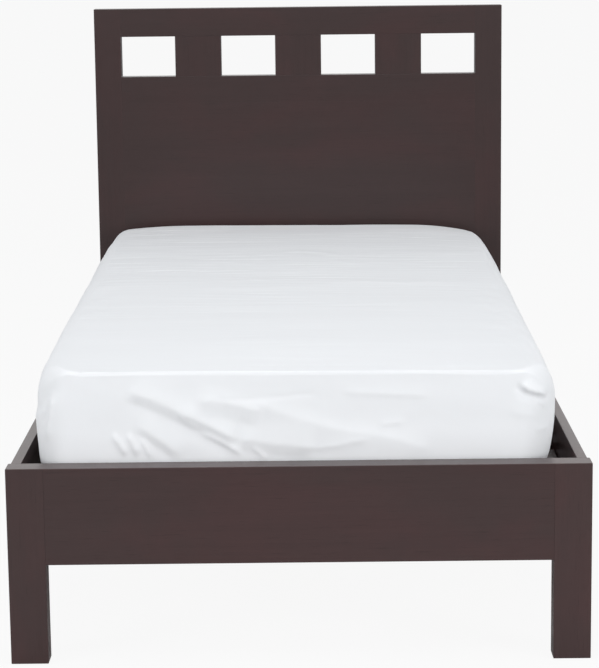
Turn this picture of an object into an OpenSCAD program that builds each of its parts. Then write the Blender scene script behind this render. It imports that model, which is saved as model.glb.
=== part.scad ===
// Platform bed: a flat headboard with four windows, a low footboard, side rails,
// a slatted deck on a centre beam, and a mattress in a fitted sheet.
// X runs across the bed, +Y from foot to head, +Z up.
// The origin is on the floor, in the middle of the bed.

/* [Bed] */
// Width over the headboard and the footboard
bed_w = 1067; // [1000:1:1140]
// Length over the headboard and the footboard
bed_l = 2050; // [1950:1:2150]
// Height of the headboard
head_h = 1124; // [1050:1:1250]
// Height of the footboard and of the side rails' tops
foot_h = 370; // [350:1:400]
// Thickness of the headboard and the footboard
board_t = 45; // [38:1:56]
// Width of each post and each leg
leg_w = 69; // [62:1:76]
// Height of the footboard panel and of the side rails
rail_h = 181; // [170:1:195]
// Thickness of the side rails
rail_t = 19; // [17:1:22]
// How far the side rails stand in from the ends of the footboard
rail_inset = 5; // [2:1:8]

/* [Headboard] */
// Width of each window
window_w = 142; // [110:1:160]
// Height of each window
window_h = 104.5; // [80:0.5:130]
// Height of the top rail, over the windows
top_rail_h = 72.5; // [55:0.5:90]
// Height of the rail under the windows
window_rail_h = 70; // [50:1:90]
// Height of the lower rail
lower_rail_h = 100; // [95:1:120]
// Thickness of the panel between the rails
panel_t = 18; // [14:1:22]
// Width of each batten on the back of the panel
batten_w = 60; // [40:1:80]
// Distance of each batten from the middle of the bed
batten_x = 160; // [100:1:240]

/* [Deck] */
// Depth of the mattress well, from the rails' tops down to the slats
well_d = 70; // [64:1:75]
// Width of each slat
slat_w = 75; // [68:1:82]
// Thickness of each slat
slat_t = 18; // [16:1:21]
// Room at each end of a slat
slat_end_gap = 2; // [1:0.5:4]
// Room before the first slat and after the last one
slat_first_gap = 12; // [8:1:20]
// Width of each side cleat
cleat_w = 30; // [26:1:36]
// Height of each side cleat
cleat_h = 25; // [22:1:27]
// Width of each webbing strap
strap_w = 30; // [20:1:40]
// Thickness of each webbing strap
strap_t = 1.2; // [0.8:0.1:2]
// Distance of each strap from the middle of the bed
strap_x = 250; // [180:1:320]

/* [Centre support] */
// Width of the centre beam
beam_w = 40; // [36:1:50]
// Height of the centre beam
beam_h = 60; // [52:1:66]
// Distance of each centre leg from the middle of the bed
centre_leg_y = 300; // [240:1:360]
// Width of each centre leg
centre_leg_w = 45; // [38:1:55]
// Diameter of the bolt between a centre leg and the beam
hanger_bolt_d = 8; // [6:1:10]
// Length of the bolt between a centre leg and the beam
hanger_bolt_l = 70; // [60:1:80]

/* [Levelling feet] */
// Diameter of the pad
pad_d = 40; // [32:1:44]
// Height of the pad
pad_h = 10; // [8:1:12]
// Diameter of the boss on the pad
boss_d = 18; // [16:1:22]
// Height of the boss on the pad
boss_h = 4; // [3:0.5:6]
// Diameter of the threaded stem
stem_d = 8; // [6:1:10]
// Length of the threaded stem
stem_l = 52; // [48:1:56]
// Distance across the flats of the stem's hexagon collar
collar_af = 13; // [12:1:16]
// Height of the hexagon collar
collar_h = 5; // [4:0.5:6]
// Room between the collar and the leg, at rest
collar_gap = 10; // [9:0.5:14]

/* [Corner brackets] */
// Length of each arm of a corner bracket
bracket_arm = 40; // [38:1:44]
// Height of a corner bracket
bracket_h = 60; // [54:1:62]
// Thickness of the steel
steel_t = 3; // [2:0.5:4]
// Distance between the two bolts of a bracket
bolt_pitch = 30; // [26:1:34]
// Diameter of the bracket bolts
bolt_d = 8; // [6:1:8]
// Length of the bracket bolts under their heads
bolt_l = 20; // [18:1:21]
// Diameter of the bolt heads
bolt_head_d = 13; // [12:0.5:14]
// Height of the bolt heads
bolt_head_h = 7; // [5:0.5:8]
// Width across flats of the bolts' hexagon socket
bolt_key_w = 5; // [4:0.5:6]
// Diameter of the washers
washer_d = 17; // [16:0.5:20]
// Thickness of the washers
washer_t = 1.6; // [1:0.2:2]
// Diameter of the threaded inserts
insert_d = 12; // [11:0.5:14]
// Length of the threaded inserts
insert_l = 15; // [12:1:18]

/* [Beam hangers] */
// Width of a hanger's back plate
hanger_w = 90; // [86:1:100]
// Length of a hanger's seat under the beam
hanger_seat = 35; // [28:1:45]
// How far a hanger's plate stands down below the beam
hanger_drop = 10; // [8:1:14]
// How far a hanger's plate stops short of the beam's top
hanger_top_gap = 12; // [8:1:18]

/* [Joints in the wood] */
// Diameter of the dowels
dowel_d = 10; // [8:1:12]
// Length of the dowels
dowel_l = 50; // [40:1:60]
// Distance of each dowel from the edge of the rail that it joins
dowel_edge = 18; // [14:1:22]
// Diameter of the dowels in the ends of the side rails
rail_dowel_d = 8; // [6:1:9]
// Length of the dowels in the ends of the side rails
rail_dowel_l = 40; // [30:1:50]
// Distance of the side rails' dowels below the rails' tops
rail_dowel_drop = 40; // [30:1:50]
// Shank diameter of the screws
screw_d = 4; // [3.5:0.5:5]
// Head diameter of the screws
screw_head_d = 8; // [7:0.5:9]
// Length of the screws through slats and cleats
screw_l = 36; // [34:1:38]
// Length of the short screws through steel
short_screw_l = 16; // [14:1:18]

/* [Floor glides] */
// Diameter of the glide under each post and leg
glide_d = 24; // [18:1:30]
// Thickness of the glides
glide_t = 1.5; // [1:0.5:3]
// Diameter of a glide's nail
nail_d = 3; // [2:0.5:4]
// Length of a glide's nail
nail_l = 16; // [12:1:20]

/* [Mattress and sheet] */
// Room between the mattress and each side rail
side_gap = 13; // [8:0.5:18]
// Room between the mattress and the footboard
foot_gap = 12; // [6:1:24]
// Room between the mattress and the headboard
head_gap = 16; // [6:1:30]
// How far the mattress lies off the middle, to the left
mattress_shift = 6; // [0:0.5:7]
// Height of the mattress and sheet at the foot
mattress_foot_h = 246; // [200:1:270]
// Height of the mattress and sheet at the head
mattress_head_h = 252; // [200:1:280]
// How much wider the mattress is at the head than at the foot
mattress_taper = 25; // [0:1:30]
// Rise of the crown towards the middle
crown_h = 6; // [0:1:20]
// How much higher the top lies at its left edge than in the middle
lean_h = 3; // [0:1:8]
// Radius of the mattress's upright corners
corner_r = 69; // [60:1:90]
// How far in the rounded top edge reaches
edge_w = 49; // [30:1:56]
// How far down the rounded top edge reaches
edge_h = 75; // [40:1:110]
// How far in the tight top edge reaches at the foot
foot_edge_w = 7; // [5:1:30]
// How far down that tight edge reaches at the foot
foot_edge_h = 10; // [6:1:40]
// How far the top falls towards the foot
foot_fall = 11; // [0:1:20]
// How far from the foot that fall begins
foot_fall_reach = 450; // [200:10:800]
// How far the top falls towards the left corner at the head
left_fall = 12; // [0:1:30]
// How far the top falls towards the right corner at the head
right_fall = 25; // [0:1:30]
// Radius of the bottom edge
bottom_r = 14; // [8:1:24]
// How far the sides are drawn in at the bottom
draw_in = 12; // [4:1:18]
// How much further the right corner at the foot is drawn in at the bottom
corner_slack = 20; // [0:1:30]
// How far from the foot that corner's slack fades out
slack_reach = 350; // [200:10:600]
// Thickness of the fitted sheet
sheet_t = 1.5; // [1:0.1:2.5]
// How far the sheet is tucked under the mattress
hem_w = 110; // [80:1:150]
// Thickness of the mattress's quilted walls
quilt_t = 20; // [16:1:40]

/* [Clearances] */
// Radial clearance round dowels, screws, bolts and inserts
fit = 0.05; // [0.03:0.01:0.1]
// Gap between a part that lifts or rests loosely and its seat
rest_gap = 0.3; // [0.2:0.1:0.5]

/* [Hidden] */

$fn = 48;
// How far a cut runs past the face it starts from
over = 1;
slat_count = 14;
window_count = 4;
wood_tone = [0.22, 0.165, 0.155];
pine_tone = [0.80, 0.66, 0.46];
steel_tone = [0.62, 0.63, 0.65];
dark_steel_tone = [0.16, 0.16, 0.17];
brass_tone = [0.72, 0.58, 0.30];
plastic_tone = [0.12, 0.12, 0.13];
webbing_tone = [0.85, 0.83, 0.78];
ticking_tone = [0.90, 0.89, 0.86];
sheet_tone = [0.95, 0.96, 0.97];

// Places across the bed
half_w = bed_w / 2;
post_in = half_w - leg_w;
rail_out = half_w - rail_inset;
rail_in = rail_out - rail_t;
rail_x = (rail_out + rail_in) / 2;
post_x = half_w - leg_w / 2;
field_w = 2 * post_in;

// Places along the bed
half_l = bed_l / 2;
foot_in = -half_l + board_t;
head_in = half_l - board_t;
rail_l = head_in - foot_in;
board_mid = half_l - board_t / 2;

// Heights
rail_z = foot_h - rail_h;
window_top = head_h - top_rail_h;
window_low = window_top - window_h;
panel_top = window_low - window_rail_h;
panel_low = rail_z + lower_rail_h;
deck_z = foot_h - well_d;
slat_z = deck_z - slat_t;
cleat_z = slat_z - cleat_h;
beam_z = slat_z - beam_h;

// Windows and dividers
divider_w = (field_w - window_count * window_w) / (window_count - 1);
divider_pitch = divider_w + window_w;

// Deck
slat_l = 2 * (rail_in - slat_end_gap);
slat_y = foot_in + slat_first_gap;
slat_pitch = (rail_l - 2 * slat_first_gap - slat_w) / (slat_count - 1);
cleat_mid = rail_in - cleat_w / 2;
slat_screw_ys = [for (i = [0:slat_count - 1]) slat_y + slat_w / 2 + i * slat_pitch];
cleat_screw_ys = [for (i = [0:2:slat_count - 2]) slat_y + slat_w / 2 + (i + 0.5) * slat_pitch];
cleat_screw_z = cleat_z + cleat_h / 2;

// Corner brackets
bracket_gap = 2;
bracket_z = cleat_z - bracket_gap - bracket_h;
bolt_x = rail_in - bracket_arm * 0.55;
bolt_zs = [for (s = [-0.5, 0.5]) bracket_z + bracket_h / 2 + s * bolt_pitch];
rail_screw_y = bracket_arm * 0.65;
bolt_tip_room = 1.5;
bolt_hole_l = bolt_l - steel_t - washer_t + bolt_tip_room;

// Centre support
leg_bottom_z = pad_h + boss_h + collar_h + collar_gap;
centre_leg_h = beam_z - leg_bottom_z;
beam_gap = 0.3;
beam_l = rail_l - 2 * (steel_t + beam_gap);
stem_seat_z = 3;
stem_top_z = stem_seat_z + stem_l;
stem_room = 4;
hanger_top_z = slat_z - hanger_top_gap;
hanger_low_z = beam_z - hanger_drop;
plate_margin = 9;
hanger_screw_x = hanger_w / 2 - plate_margin;
hanger_screw_zs = [hanger_low_z + plate_margin, hanger_top_z - plate_margin];
cheek_gap = 0.3;

// Mattress, measured from the underside of the sheet
mattress_w = 2 * (rail_in - side_gap);
mattress_l = rail_l - foot_gap - head_gap;
mattress_y = (foot_gap - head_gap) / 2;
mattress_z = deck_z + rest_gap;
mattress_h = (mattress_foot_h + mattress_head_h) / 2;
sides_in = [8, 7, 4, 7];
corner_steps = 3;
edge_steps = 4;
crown_rings = [0.82, 0.53, 0.22];
mattress_side = mattress_w / 2 - mattress_taper / 4;
straight_x = mattress_side - corner_r;
straight_y = mattress_l / 2 - corner_r;
edge_z = mattress_h - edge_h;
tight_margin = 30;
tight_reach = 80;

// A box from its low corner to its high corner
module block(low, high) {
    translate(low) cube(high - low);
}

// A countersunk screw with its head's top at the origin, pointing down
module screw(length) {
    r = screw_d / 2;
    head_r = screw_head_d / 2;
    difference() {
        rotate_extrude() polygon([[0, 0], [head_r, 0], [r, r - head_r], [r, -length], [0, -length]]);
        translate([0, 0, -screw_head_d * 0.2]) cylinder(h = screw_head_d, d = screw_d * 0.8, $fn = 6);
    }
}

// The countersunk hole for that screw
module screw_hole(length) {
    r = screw_d / 2 + fit;
    head_r = screw_head_d / 2 + fit;
    rotate_extrude() polygon([[0, over], [head_r, over], [head_r, 0], [r, r - head_r],
        [r, -length - over], [0, -length - over]]);
}

// A rod or a hole along X, Y or Z, centred on a point
module rod_x(length, d) {
    rotate([0, 90, 0]) cylinder(h = length, d = d, center = true);
}

module rod_y(length, d) {
    rotate([90, 0, 0]) cylinder(h = length, d = d, center = true);
}

module rod_z(length, d) {
    cylinder(h = length, d = d, center = true);
}

// Dowels: the room at their ends, and their heights in each rail between the posts
dowel_room = 1;
function two_dowels(low, high) = [low + dowel_edge, high - dowel_edge];

head_dowel_zs = concat(two_dowels(window_top, head_h), two_dowels(panel_top, window_low),
    two_dowels(rail_z, panel_low));
foot_dowel_zs = [rail_z + dowel_edge, rail_z + rail_h / 2, foot_h - dowel_edge];
divider_xs = [for (i = [-1:1]) i * divider_pitch];

// Places of the dowels that lie across the bed, in the headboard and in the footboard
module at_head_dowels(sides) {
    for (s = sides, z = head_dowel_zs) translate([s * post_in, board_mid, z]) children();
}

module at_foot_dowels(sides) {
    for (s = sides, z = foot_dowel_zs) translate([s * post_in, -board_mid, z]) children();
}

// Places of the dowels that stand in the dividers between the windows
module at_divider_dowels(xs, zs) {
    for (x = xs, z = zs) translate([x, board_mid, z]) children();
}

// Places of the corner bolts: side -1 is left, end -1 is the foot
module at_bolts(sides, ends) {
    for (s = sides, e = ends, z = bolt_zs)
        translate([s * bolt_x, e < 0 ? foot_in : head_in, z]) rotate([e * 90, 0, 0]) children();
}

module at_rail_dowels(sides, ends) {
    for (s = sides, e = ends)
        translate([s * rail_x, e < 0 ? foot_in : head_in, foot_h - rail_dowel_drop]) children();
}

// The hole for a bracket's bolt and its insert, with its mouth at the origin, going down
module insert_hole() {
    translate([0, 0, -insert_l]) cylinder(h = insert_l + over, d = insert_d + 2 * fit);
    translate([0, 0, -bolt_hole_l]) cylinder(h = bolt_hole_l, d = bolt_d + 2 * fit);
}

module glide_hole() {
    translate([0, 0, glide_t - over]) cylinder(h = nail_l + 2 * over, d = nail_d + 2 * fit);
}

// Headboard
module headboard_post(s) {
    color(wood_tone) difference() {
        block([s < 0 ? -half_w : post_in, head_in, glide_t],
            [s < 0 ? -post_in : half_w, half_l, head_h]);
        at_head_dowels([s]) rod_x(dowel_l, dowel_d + 2 * fit);
        at_bolts([s], [1]) insert_hole();
        at_rail_dowels([s], [1]) rod_y(rail_dowel_l, rail_dowel_d + 2 * fit);
        translate([s * post_x, board_mid, 0]) glide_hole();
    }
}

module headboard_rail(low, high) {
    color(wood_tone) difference() {
        block([-post_in, head_in, low], [post_in, half_l, high]);
        at_head_dowels([-1, 1]) rod_x(dowel_l, dowel_d + 2 * fit);
        at_divider_dowels(divider_xs, [window_low, window_top]) rod_z(dowel_l, dowel_d + 2 * fit);
        hanger_screws(1) screw_hole(short_screw_l);
    }
}

module headboard_divider(x) {
    color(wood_tone) difference() {
        block([x - divider_w / 2, head_in, window_low], [x + divider_w / 2, half_l, window_top]);
        at_divider_dowels([x], [window_low, window_top]) rod_z(dowel_l, dowel_d + 2 * fit);
    }
}

module headboard_panel() {
    color(wood_tone) block([-post_in, head_in, panel_low], [post_in, head_in + panel_t, panel_top]);
}

module headboard_batten(s) {
    color(wood_tone) block([s * batten_x - batten_w / 2, head_in + panel_t, panel_low],
        [s * batten_x + batten_w / 2, half_l, panel_top]);
}

module headboard_dowels() {
    color(pine_tone) {
        at_head_dowels([-1, 1]) rod_x(dowel_l - dowel_room, dowel_d);
        at_divider_dowels(divider_xs, [window_low, window_top]) rod_z(dowel_l - dowel_room, dowel_d);
    }
}

// Footboard
module footboard_leg(s) {
    color(wood_tone) difference() {
        block([s < 0 ? -half_w : post_in, -half_l, glide_t], [s < 0 ? -post_in : half_w, foot_in, foot_h]);
        at_foot_dowels([s]) rod_x(dowel_l, dowel_d + 2 * fit);
        at_bolts([s], [-1]) insert_hole();
        at_rail_dowels([s], [-1]) rod_y(rail_dowel_l, rail_dowel_d + 2 * fit);
        translate([s * post_x, -board_mid, 0]) glide_hole();
    }
}

module footboard_panel() {
    color(wood_tone) difference() {
        block([-post_in, -half_l, rail_z], [post_in, foot_in, foot_h]);
        at_foot_dowels([-1, 1]) rod_x(dowel_l, dowel_d + 2 * fit);
        hanger_screws(-1) screw_hole(short_screw_l);
    }
}

module footboard_dowels() {
    color(pine_tone) at_foot_dowels([-1, 1]) rod_x(dowel_l - dowel_room, dowel_d);
}

// Side rails and cleats
module at_cleat_screws(s, x) {
    for (y = cleat_screw_ys) translate([s * x, y, cleat_screw_z]) rotate([0, -s * 90, 0]) children();
}

module at_rail_screws(s, ends) {
    for (e = ends, z = bolt_zs)
        translate([s * (rail_in - steel_t), e < 0 ? foot_in + rail_screw_y : head_in - rail_screw_y, z])
            rotate([0, -s * 90, 0]) children();
}

module side_rail(s) {
    color(wood_tone) difference() {
        block([s < 0 ? -rail_out : rail_in, foot_in, rail_z], [s < 0 ? -rail_in : rail_out, head_in, foot_h]);
        at_cleat_screws(s, rail_in - cleat_w) screw_hole(screw_l);
        at_rail_screws(s, [-1, 1]) screw_hole(short_screw_l);
        at_rail_dowels([s], [-1, 1]) rod_y(rail_dowel_l, rail_dowel_d + 2 * fit);
    }
}

module rail_dowels() {
    color(pine_tone) at_rail_dowels([-1, 1], [-1, 1]) rod_y(rail_dowel_l - dowel_room, rail_dowel_d);
}

module cleat(s) {
    color(wood_tone) difference() {
        block([s < 0 ? -rail_in : rail_in - cleat_w, foot_in, cleat_z],
            [s < 0 ? cleat_w - rail_in : rail_in, head_in, slat_z]);
        at_cleat_screws(s, rail_in - cleat_w) screw_hole(screw_l);
        for (y = slat_screw_ys) translate([s * cleat_mid, y, deck_z]) screw_hole(screw_l);
    }
}

module cleat_screws() {
    color(steel_tone) for (s = [-1, 1]) at_cleat_screws(s, rail_in - cleat_w) screw(screw_l);
}

// Corner brackets, with their bolts, washers, screws and inserts
module corner_bracket(s, e) {
    y = e < 0 ? foot_in : head_in;
    color(dark_steel_tone) difference() {
        union() {
            block([s < 0 ? -rail_in : rail_in - bracket_arm, e < 0 ? y : y - steel_t, bracket_z],
                [s < 0 ? bracket_arm - rail_in : rail_in, e < 0 ? y + steel_t : y, bracket_z + bracket_h]);
            block([s < 0 ? -rail_in : rail_in - steel_t, e < 0 ? y : y - bracket_arm, bracket_z],
                [s < 0 ? steel_t - rail_in : rail_in, e < 0 ? y + bracket_arm : y, bracket_z + bracket_h]);
        }
        at_bolts([s], [e]) rod_z(3 * steel_t, bolt_d + 2 * fit);
        at_rail_screws(s, [e]) screw_hole(short_screw_l);
    }
}

module bracket_bolt() {
    difference() {
        union() {
            translate([0, 0, -bolt_l + steel_t + washer_t]) cylinder(h = bolt_l, d = bolt_d);
            translate([0, 0, steel_t + washer_t]) cylinder(h = bolt_head_h, d = bolt_head_d);
        }
        translate([0, 0, steel_t + washer_t + bolt_head_h / 2])
            cylinder(h = bolt_head_h, d = bolt_key_w / cos(30), $fn = 6);
    }
}

module bracket_bolts() {
    color(dark_steel_tone) at_bolts([-1, 1], [-1, 1]) bracket_bolt();
}

module bracket_washers() {
    color(steel_tone) at_bolts([-1, 1], [-1, 1]) translate([0, 0, steel_t]) difference() {
        cylinder(h = washer_t, d = washer_d);
        rod_z(4 * washer_t, bolt_d + 2 * fit);
    }
}

module steel_screws() {
    color(steel_tone) {
        for (s = [-1, 1]) at_rail_screws(s, [-1, 1]) screw(short_screw_l);
        for (e = [-1, 1]) hanger_screws(e) screw(short_screw_l);
    }
}

module insert(bore_d) {
    translate([0, 0, -insert_l]) difference() {
        cylinder(h = insert_l, d = insert_d);
        rod_z(3 * insert_l, bore_d + 2 * fit);
    }
}

module threaded_inserts() {
    color(brass_tone) {
        at_bolts([-1, 1], [-1, 1]) insert(bolt_d);
        for (e = [-1, 1]) translate([0, e * centre_leg_y, leg_bottom_z + insert_l]) insert(stem_d);
    }
}

// Centre beam, its hangers and its legs
module centre_beam() {
    color(pine_tone) difference() {
        block([-beam_w / 2, -beam_l / 2, beam_z], [beam_w / 2, beam_l / 2, slat_z]);
        for (e = [-1, 1]) translate([0, e * centre_leg_y, beam_z])
            rod_z(hanger_bolt_l + 2 * over, hanger_bolt_d + 2 * fit);
    }
}

module hanger_screws(e) {
    for (x = [-1, 1], z = hanger_screw_zs)
        translate([x * hanger_screw_x, e < 0 ? foot_in + steel_t : head_in - steel_t, z])
            rotate([e * 90, 0, 0]) children();
}

module beam_hanger(e) {
    cheek_x = beam_w / 2 + cheek_gap;
    color(dark_steel_tone) difference() {
        scale([1, -e, 1]) translate([0, -rail_l / 2, 0]) union() {
            block([-hanger_w / 2, 0, hanger_low_z], [hanger_w / 2, steel_t, hanger_top_z]);
            block([-cheek_x - steel_t, 0, beam_z - steel_t], [cheek_x + steel_t, hanger_seat, beam_z]);
            for (s = [-1, 1])
                block([s < 0 ? -cheek_x - steel_t : cheek_x, 0, beam_z - steel_t],
                    [s < 0 ? -cheek_x : cheek_x + steel_t, hanger_seat, hanger_top_z]);
        }
        hanger_screws(e) screw_hole(short_screw_l);
    }
}

module centre_leg(e) {
    color(pine_tone) translate([0, e * centre_leg_y, 0]) difference() {
        block([-centre_leg_w / 2, -centre_leg_w / 2, leg_bottom_z],
            [centre_leg_w / 2, centre_leg_w / 2, beam_z]);
        translate([0, 0, beam_z]) rod_z(hanger_bolt_l + 2 * over, hanger_bolt_d + 2 * fit);
        translate([0, 0, leg_bottom_z - over]) cylinder(h = insert_l + over, d = insert_d + 2 * fit);
        translate([0, 0, leg_bottom_z]) cylinder(h = stem_top_z - leg_bottom_z + collar_gap + stem_room,
            d = stem_d + 2 * fit);
    }
}

module hanger_bolts() {
    color(steel_tone) for (e = [-1, 1])
        translate([0, e * centre_leg_y, beam_z]) rod_z(hanger_bolt_l, hanger_bolt_d);
}

// Levelling feet
module levelling_stem(e) {
    color(steel_tone) translate([0, e * centre_leg_y, 0]) {
        translate([0, 0, stem_seat_z]) cylinder(h = stem_l, d = stem_d);
        translate([0, 0, pad_h + boss_h]) cylinder(h = collar_h, d = collar_af / cos(30), $fn = 6);
    }
}

module levelling_pad(e) {
    color(plastic_tone) translate([0, e * centre_leg_y, 0]) difference() {
        union() {
            cylinder(h = pad_h, d = pad_d);
            cylinder(h = pad_h + boss_h, d = boss_d);
        }
        translate([0, 0, stem_seat_z]) cylinder(h = pad_h + boss_h, d = stem_d + 2 * fit);
    }
}

// Slats, with their webbing and screws
module slat(i) {
    y = slat_y + i * slat_pitch;
    color(wood_tone) difference() {
        block([-slat_l / 2, y, slat_z], [slat_l / 2, y + slat_w, deck_z]);
        for (s = [-1, 1]) translate([s * cleat_mid, slat_screw_ys[i], deck_z]) screw_hole(screw_l);
    }
}

module slat_webbing() {
    color(webbing_tone) for (s = [-1, 1])
        block([s * strap_x - strap_w / 2, slat_screw_ys[0], slat_z - strap_t],
            [s * strap_x + strap_w / 2, slat_screw_ys[slat_count - 1], slat_z]);
}

module slat_screws() {
    color(dark_steel_tone) for (s = [-1, 1], y = slat_screw_ys)
        translate([s * cleat_mid, y, deck_z]) screw(screw_l);
}

// Floor glides
module floor_glides() {
    color(plastic_tone) for (s = [-1, 1], e = [-1, 1]) translate([s * post_x, e * board_mid, 0]) {
        cylinder(h = glide_t, d = glide_d);
        cylinder(h = glide_t + nail_l, d = nail_d);
    }
}

// The mattress's outline at an inset, anticlockwise from the left corner at the foot
function corner_point(c, k, r, w, l) =
    let (a = 180 + 90 * c + 90 * k / corner_steps,
        sx = (c == 1 || c == 2) ? 1 : -1,
        sy = c > 1 ? 1 : -1)
    [sx * (w - r) + r * cos(a), sy * (l - r) + r * sin(a)];

function outline(inset) =
    let (r = max(corner_r - inset, 6), w = mattress_side - inset, l = mattress_l / 2 - inset)
    [for (c = [0:3]) each concat(
        [for (k = [0:corner_steps]) corner_point(c, k, r, w, l)],
        [for (j = [1:sides_in[c]])
            let (t = j / (sides_in[c] + 1))
            (1 - t) * corner_point(c, corner_steps, r, w, l) + t * corner_point((c + 1) % 4, 0, r, w, l)])];

// The side's section as inset and height: hem, bottom edge, drawn-in side and rounded top edge
section = concat([[hem_w, 0]],
    [for (a = [0:45:90]) [draw_in + bottom_r * (1 - sin(a)), bottom_r * (1 - cos(a))]],
    [for (t = [0.35, 0.7]) [draw_in * pow(1 - t, 2), bottom_r + t * (edge_z - bottom_r)]],
    [for (k = [0:edge_steps])
        let (a = 90 * k / edge_steps)
        [edge_w * (1 - cos(a)), mattress_h - edge_h * (1 - sin(a))]]);

// The same section a distance further in, square to the surface
function moved_in(i, t) =
    let (a = section[max(i - 1, 0)], b = section[min(i + 1, len(section) - 1)], d = (b - a) / norm(b - a))
    section[i] + t * [d.y, -d.x];

// 0 below 0 and 1 above 1, easing in between
function eased(t) = let (c = min(1, max(0, t))) c * c * (3 - 2 * c);

// How far up the side a height lies, from 0 at the bottom edge to 1 where the top edge begins
function level(z) = min(1, max(0, z - bottom_r) / (edge_z - bottom_r));

// How far up the rounded top edge a height lies, in a skin a distance in from the outside
function share(z, t) = min(1, max(0, z - edge_z) / (edge_h - t));

// How far a point lies behind the outline at the foot
function behind(p) =
    let (past = min(corner_r, max(0, abs(p.x) - straight_x)))
    max(0, p.y + straight_y + sqrt(corner_r * corner_r - past * past));

// The same distance where the top edge is tight, which fades out towards the long sides
function behind_now(p, z, t) =
    let (d = behind(p),
        eases = 4 * edge_w,
        tight = d < eases ? lookup(d, [[t, t], [edge_w, foot_edge_w], [eases, eases]]) : d)
    z > edge_z ? d + (tight - d) * eased((mattress_side - abs(p.x) - tight_margin) / tight_reach) : d;

// How squarely the outline faces the foot at a point
function facing_foot(p) =
    let (q = [max(0, abs(p.x) - straight_x), max(0, -p.y - straight_y)])
    norm(q) > 0 ? pow(q.y / norm(q), 3) : 0;

// A height on the side or the top edge, which is tight at the foot
function side_z(p, z, t) =
    let (drop = edge_h + (foot_edge_h - edge_h) * facing_foot(p))
    min(z, bottom_r) + level(z) * (mattress_h - drop - bottom_r) + share(z, t) * (drop - t);

// How much higher the top lies for its crown, its lean and its falls
function top_shape(p, z, t) =
    let (u = p.x / mattress_side,
        v = 2 * p.y / mattress_l,
        crown = crown_h * pow(share(z, t), 2) * (1 - pow(min(1, abs(u)), 4)),
        corner = pow(max(0, 2 * v - 1) * min(1, max(0, 2.5 * abs(u) - 1.5)), 2),
        near = max(0, 1 - behind_now(p, z, t) / foot_fall_reach),
        inner = eased((mattress_side - abs(p.x) - tight_margin) / tight_reach))
    crown - level(z) * (corner * (p.x < 0 ? left_fall : right_fall) + lean_h * u + foot_fall * inner * near * near);

// How far a point is drawn in by the slack of the right corner at the foot
function slack(p, z) =
    let (near = max(0, 1 - (p.y + mattress_l / 2) / slack_reach))
    corner_slack * pow(near * (1 - level(z)), 2) * max(0, p.x) / (mattress_w / 2);

// A point's place in the bed, in a skin a distance in from the outside: wider and higher towards the head
function placed(p, z, t) =
    let (y = p.y - behind(p) + behind_now(p, z, t),
        v = 2 * y / mattress_l,
        wider = mattress_taper / 4 * v * min(1, abs(p.x) / (mattress_w / 4)),
        high = side_z(p, z, t) + top_shape(p, z, t))
    [p.x + wider * sign(p.x) - slack(p, z) - mattress_shift,
        y + mattress_y,
        mattress_z + high * (1 + v * (mattress_head_h - mattress_foot_h) / (2 * mattress_h))];

// The rings of the form a distance in from its outside, from the hem to the crown
function rings(t) =
    let (top = moved_in(len(section) - 1, t))
    concat([for (i = [0:len(section) - 1]) let (q = moved_in(i, t)) [for (p = outline(q.x)) placed(p, q.y, t)]],
        [for (f = crown_rings) [for (p = outline(top.x)) placed(f * p, top.y, t)]]);

function crown_top(t) = placed([0, 0], moved_in(len(section) - 1, t).y, t);

ring_n = len(outline(0));
ring_count = len(section) + len(crown_rings);

// The faces between rings numbered from a first point, the other way round where flip is true
function wall(first, flip) =
    [for (k = [0:ring_count - 2], i = [0:ring_n - 1])
        let (j = (i + 1) % ring_n, a = first + k * ring_n, b = a + ring_n)
        each flip
            ? [[a + i, b + j, b + i], [a + i, a + j, b + j]]
            : [[a + i, b + i, b + j], [a + i, b + j, a + j]]];

function cap(first, pole, flip) =
    [for (i = [0:ring_n - 1])
        let (j = (i + 1) % ring_n)
        flip ? [first + i, first + j, pole] : [first + i, pole, first + j]];

// The quilted cover round the mattress's spring space, which is a box
module mattress() {
    points = [for (ring = rings(sheet_t)) each ring];
    n = len(points);
    base_z = points[0].z;
    last = n - ring_n;
    in_w = mattress_w / 2 - mattress_taper / 2 - draw_in - sheet_t - quilt_t;
    in_l = mattress_l / 2 - corner_r - sheet_t;
    in_h = min(mattress_foot_h - foot_fall, mattress_head_h - max(left_fall, right_fall)) - quilt_t;
    color(ticking_tone) difference() {
        polyhedron(concat(points, [crown_top(sheet_t), [-mattress_shift, mattress_y, base_z]]),
            concat(wall(0, false), cap(last, n, false), cap(0, n + 1, true)));
        translate([-mattress_shift, mattress_y, mattress_z])
            block([-in_w, -in_l, sheet_t + quilt_t], [in_w, in_l, in_h]);
    }
}

module fitted_sheet() {
    outer = [for (ring = rings(0)) each ring];
    inner = [for (ring = rings(sheet_t)) each ring];
    n = len(outer);
    last = n - ring_n;
    rim = [for (i = [0:ring_n - 1])
        let (j = (i + 1) % ring_n)
        each [[n + i, i, j], [n + i, j, n + j]]];
    color(sheet_tone) polyhedron(concat(outer, inner, [crown_top(0), crown_top(sheet_t)]),
        concat(wall(0, false), cap(last, 2 * n, false), wall(n, true), cap(n + last, 2 * n + 1, true), rim));
}

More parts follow.
